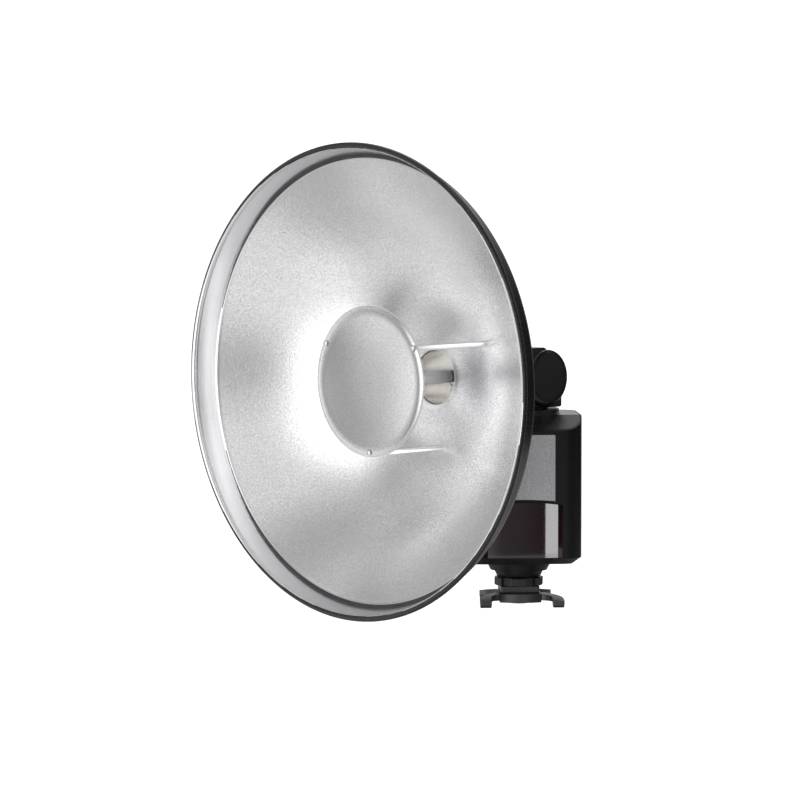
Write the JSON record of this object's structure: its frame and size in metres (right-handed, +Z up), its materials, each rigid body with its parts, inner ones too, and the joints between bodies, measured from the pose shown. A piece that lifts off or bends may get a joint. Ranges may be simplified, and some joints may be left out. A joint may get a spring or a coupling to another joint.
{
  "type": "flash bulb gun",
  "caption": "Bare-bulb camera flash with a swivelling, tilting head, a wide silver beauty dish with a central deflector, and a small shoe stand.",
  "frame": {"origin": "centre of the mouth of the mini stand's thread insert, on the plane the stand rests on", "axes": "+Z up along the flash's foot and swivel axis; the flash body's front faces -Y; +X is to the right seen from the front"},
  "size_m": [0.2523, 0.2467, 0.3004],
  "materials": {
    "stand_plastic": "fine satin moulding",
    "brass_insert": "turned",
    "soft_rubber": "matt",
    "foot_metal": "satin",
    "brass_contacts": "bright",
    "bright_steel": "ground",
    "ring_plastic": "satin",
    "body_plastic": "fine spark texture",
    "cap_gloss": "semi gloss",
    "badge_metal": "grained",
    "window_red": "polished, infrared pass",
    "lamp_lens": "moulded lenses",
    "lcd_cover": "polished",
    "lcd_display": "display",
    "key_rubber": "satin",
    "dial_plastic": "satin",
    "black_steel": "black oxide",
    "socket_plastic": "moulded",
    "socket_metal": "plated",
    "capacitor_sleeve": "shrink sleeve",
    "board_green": "solder mask",
    "ferrite_core": "sintered",
    "head_plastic": "satin",
    "nose_metal": "anodised",
    "well_mirror": "polished",
    "socket_ceramic": "fired",
    "base_ceramic": "brown fired",
    "band_metal": "satin",
    "lamp_glass": "clear",
    "xenon_quartz": "frosted quartz",
    "rod_chrome": "polished",
    "screw_chrome": "polished",
    "deflector_silver": "satin blasted",
    "collar_black": "satin black",
    "rivet_steel": "satin",
    "dish_silver": "hammered silver inside, black outside"
  },
  "bodies": {
    "stand": {"mini_stand": "stand_plastic", "thread_insert": "brass_insert", "stand_foot_pads": "soft_rubber"},
    "flash_body": {"shoe_foot": "foot_metal", "contact_pins": "brass_contacts", "foot_collar": "body_plastic", "front_shell": "body_plastic", "rear_shell": "body_plastic", "top_cap": "cap_gloss", "badge_panel": "badge_metal", "af_window": "window_red", "af_lamp": "lamp_lens", "lcd_window": "lcd_cover", "lcd_module": "lcd_display", "case_screws": "black_steel", "power_socket": "socket_plastic", "sync_jack": "socket_metal", "usb_socket": "socket_metal", "main_capacitor": "capacitor_sleeve", "main_board": "board_green", "control_board": "board_green", "charge_transformer": "ferrite_core", "swivel_plate": "ring_plastic", "swivel_screws": "black_steel"},
    "lock_ring": {"lock_ring": "ring_plastic"},
    "lock_pin": {"lock_pin": "bright_steel"},
    "swivel": {"hinge_block": "head_plastic", "swivel_spigot": "bright_steel", "tilt_axle": "bright_steel", "detent_plunger": "bright_steel"},
    "head": {"head_top_shell": "head_plastic", "head_bottom_shell": "head_plastic", "head_screws": "black_steel", "nose_ring": "nose_metal", "nose_screws": "black_steel", "lamp_well": "well_mirror", "lamp_socket": "socket_ceramic", "trigger_coil": "ferrite_core"},
    "lamp": {"tube_base": "base_ceramic", "tube_band": "band_metal", "tube_glass": "lamp_glass", "xenon_tube": "xenon_quartz"},
    "dish": {"beauty_dish": "dish_silver", "dish_collar": "collar_black", "collar_rivets": "rivet_steel", "deflector_rods": "rod_chrome", "rod_screws": "rod_chrome", "deflector_screws": "screw_chrome", "deflector_plate": "deflector_silver"},
    "menu_key_1": {"menu_key_1": "key_rubber"},
    "menu_key_2": {"menu_key_2": "key_rubber"},
    "menu_key_3": {"menu_key_3": "key_rubber"},
    "menu_key_4": {"menu_key_4": "key_rubber"},
    "mode_key": {"mode_key": "key_rubber"},
    "test_key": {"test_key": "key_rubber"},
    "sync_key": {"sync_key": "key_rubber"},
    "set_key": {"set_key": "key_rubber"},
    "control_dial": {"control_dial": "dial_plastic"},
    "power_slide": {"power_slide": "dial_plastic"},
    "port_flap": {"port_flap": "soft_rubber"}
  },
  "joints": [
    {"name": "foot_slide", "type": "slide", "parent": "stand", "child": "flash_body", "axis": [0, 1, 0], "range_m": [0, 0.019]},
    {"name": "lock_ring_turn", "type": "hinge", "parent": "flash_body", "child": "lock_ring", "pos_m": [0, 0, 0.0145], "axis": [0, 0, 1], "range_deg": [0, 60]},
    {"name": "lock_pin_slide", "type": "slide", "parent": "flash_body", "child": "lock_pin", "axis": [0, 0, 1], "range_m": [0, 0.0015]},
    {"name": "head_swivel", "type": "hinge", "parent": "flash_body", "child": "swivel", "pos_m": [0, 0, 0.125], "axis": [0, 0, 1], "range_deg": [-131.3, 138.7]},
    {"name": "head_tilt", "type": "hinge", "parent": "swivel", "child": "head", "pos_m": [0, 0, 0.1475], "axis": [-0.66, 0.7513, 0], "range_deg": [-7, 90]},
    {"name": "lamp_pull", "type": "slide", "parent": "head", "child": "lamp", "axis": [-0.7513, -0.66, 0], "range_m": [0, 0.012]},
    {"name": "dish_twist", "type": "hinge", "parent": "head", "child": "dish", "pos_m": [-0.05259, -0.0462, 0.1504], "axis": [-0.7513, -0.66, 0], "range_deg": [-40, 0]},
    {"name": "port_flap_hinge", "type": "hinge", "parent": "flash_body", "child": "port_flap", "pos_m": [0.03855, 0.0187, 0.06], "axis": [0, 0, 1], "range_deg": [0, 100]},
    {"name": "dial_turn", "type": "hinge", "parent": "flash_body", "child": "control_dial", "pos_m": [0, 0.031, 0.0505], "axis": [0, 1, 0], "continuous": true},
    {"name": "power_slide_move", "type": "slide", "parent": "flash_body", "child": "power_slide", "axis": [1, 0, 0], "range_m": [0, 0.0035]},
    {"name": "menu_key_1_press", "type": "slide", "parent": "flash_body", "child": "menu_key_1", "axis": [0, -1, 0], "range_m": [0, 0.0007], "stiffness_N_per_m": 400, "springref_m": -0.001},
    {"name": "menu_key_2_press", "type": "slide", "parent": "flash_body", "child": "menu_key_2", "axis": [0, -1, 0], "range_m": [0, 0.0007], "stiffness_N_per_m": 400, "springref_m": -0.001},
    {"name": "menu_key_3_press", "type": "slide", "parent": "flash_body", "child": "menu_key_3", "axis": [0, -1, 0], "range_m": [0, 0.0007], "stiffness_N_per_m": 400, "springref_m": -0.001},
    {"name": "menu_key_4_press", "type": "slide", "parent": "flash_body", "child": "menu_key_4", "axis": [0, -1, 0], "range_m": [0, 0.0007], "stiffness_N_per_m": 400, "springref_m": -0.001},
    {"name": "mode_key_press", "type": "slide", "parent": "flash_body", "child": "mode_key", "axis": [0, -1, 0], "range_m": [0, 0.0007], "stiffness_N_per_m": 400, "springref_m": -0.001},
    {"name": "test_key_press", "type": "slide", "parent": "flash_body", "child": "test_key", "axis": [0, -1, 0], "range_m": [0, 0.0007], "stiffness_N_per_m": 400, "springref_m": -0.001},
    {"name": "sync_key_press", "type": "slide", "parent": "flash_body", "child": "sync_key", "axis": [0, -1, 0], "range_m": [0, 0.0007], "stiffness_N_per_m": 400, "springref_m": -0.001},
    {"name": "set_key_press", "type": "slide", "parent": "flash_body", "child": "set_key", "axis": [0, -1, 0], "range_m": [0, 0.0007], "stiffness_N_per_m": 400, "springref_m": -0.001}
  ],
  "couplings": [
    {"joint": "lock_pin_slide", "follows": "lock_ring_turn", "m_per_rad": 0.0014}
  ]
}
